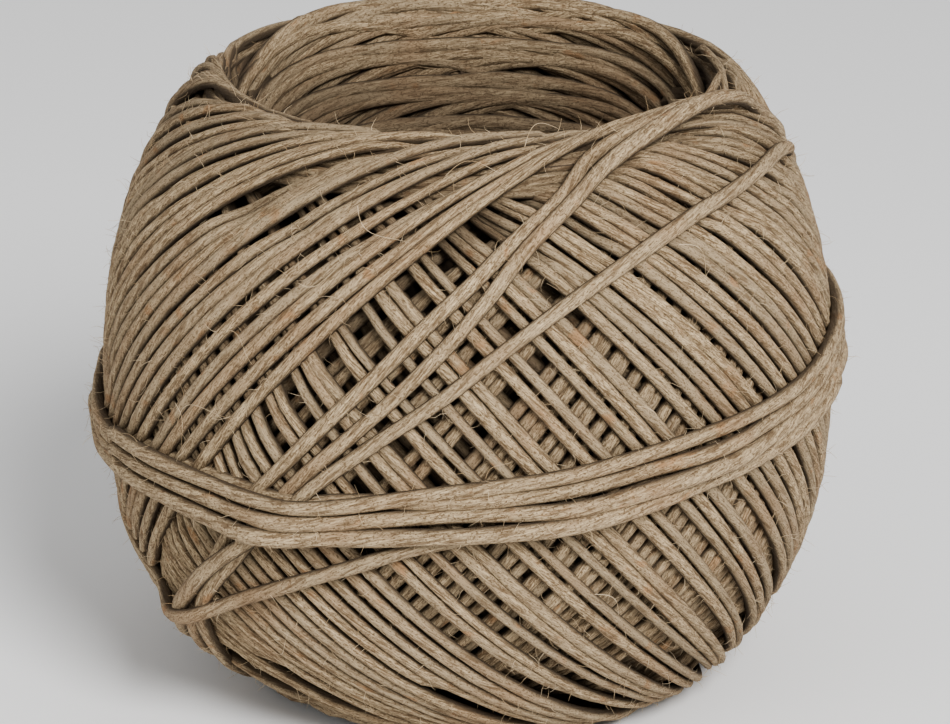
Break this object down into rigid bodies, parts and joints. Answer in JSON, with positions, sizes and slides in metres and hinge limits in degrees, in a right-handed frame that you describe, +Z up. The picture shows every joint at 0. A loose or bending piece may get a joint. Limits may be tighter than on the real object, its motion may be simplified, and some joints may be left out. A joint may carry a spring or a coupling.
{
  "type": "ball of twine",
  "caption": "Ball of natural hemp twine, cross-wound round an open through bore, with waist wraps and a flat ring it stands on.",
  "frame": {"origin": "centre of the flat resting ring, on the axis of the bore", "axes": "+Z up along the bore, +X to the viewer's right, -Y towards the viewer, where the waist wraps climb to the right"},
  "size_m": [0.0826, 0.0826, 0.0685],
  "materials": {
    "hemp_twine": "matt undyed hemp fibre, greige with browner patches"
  },
  "bodies": {
    "root": {"twine_ball": "hemp_twine"}
  },
  "joints": []
}
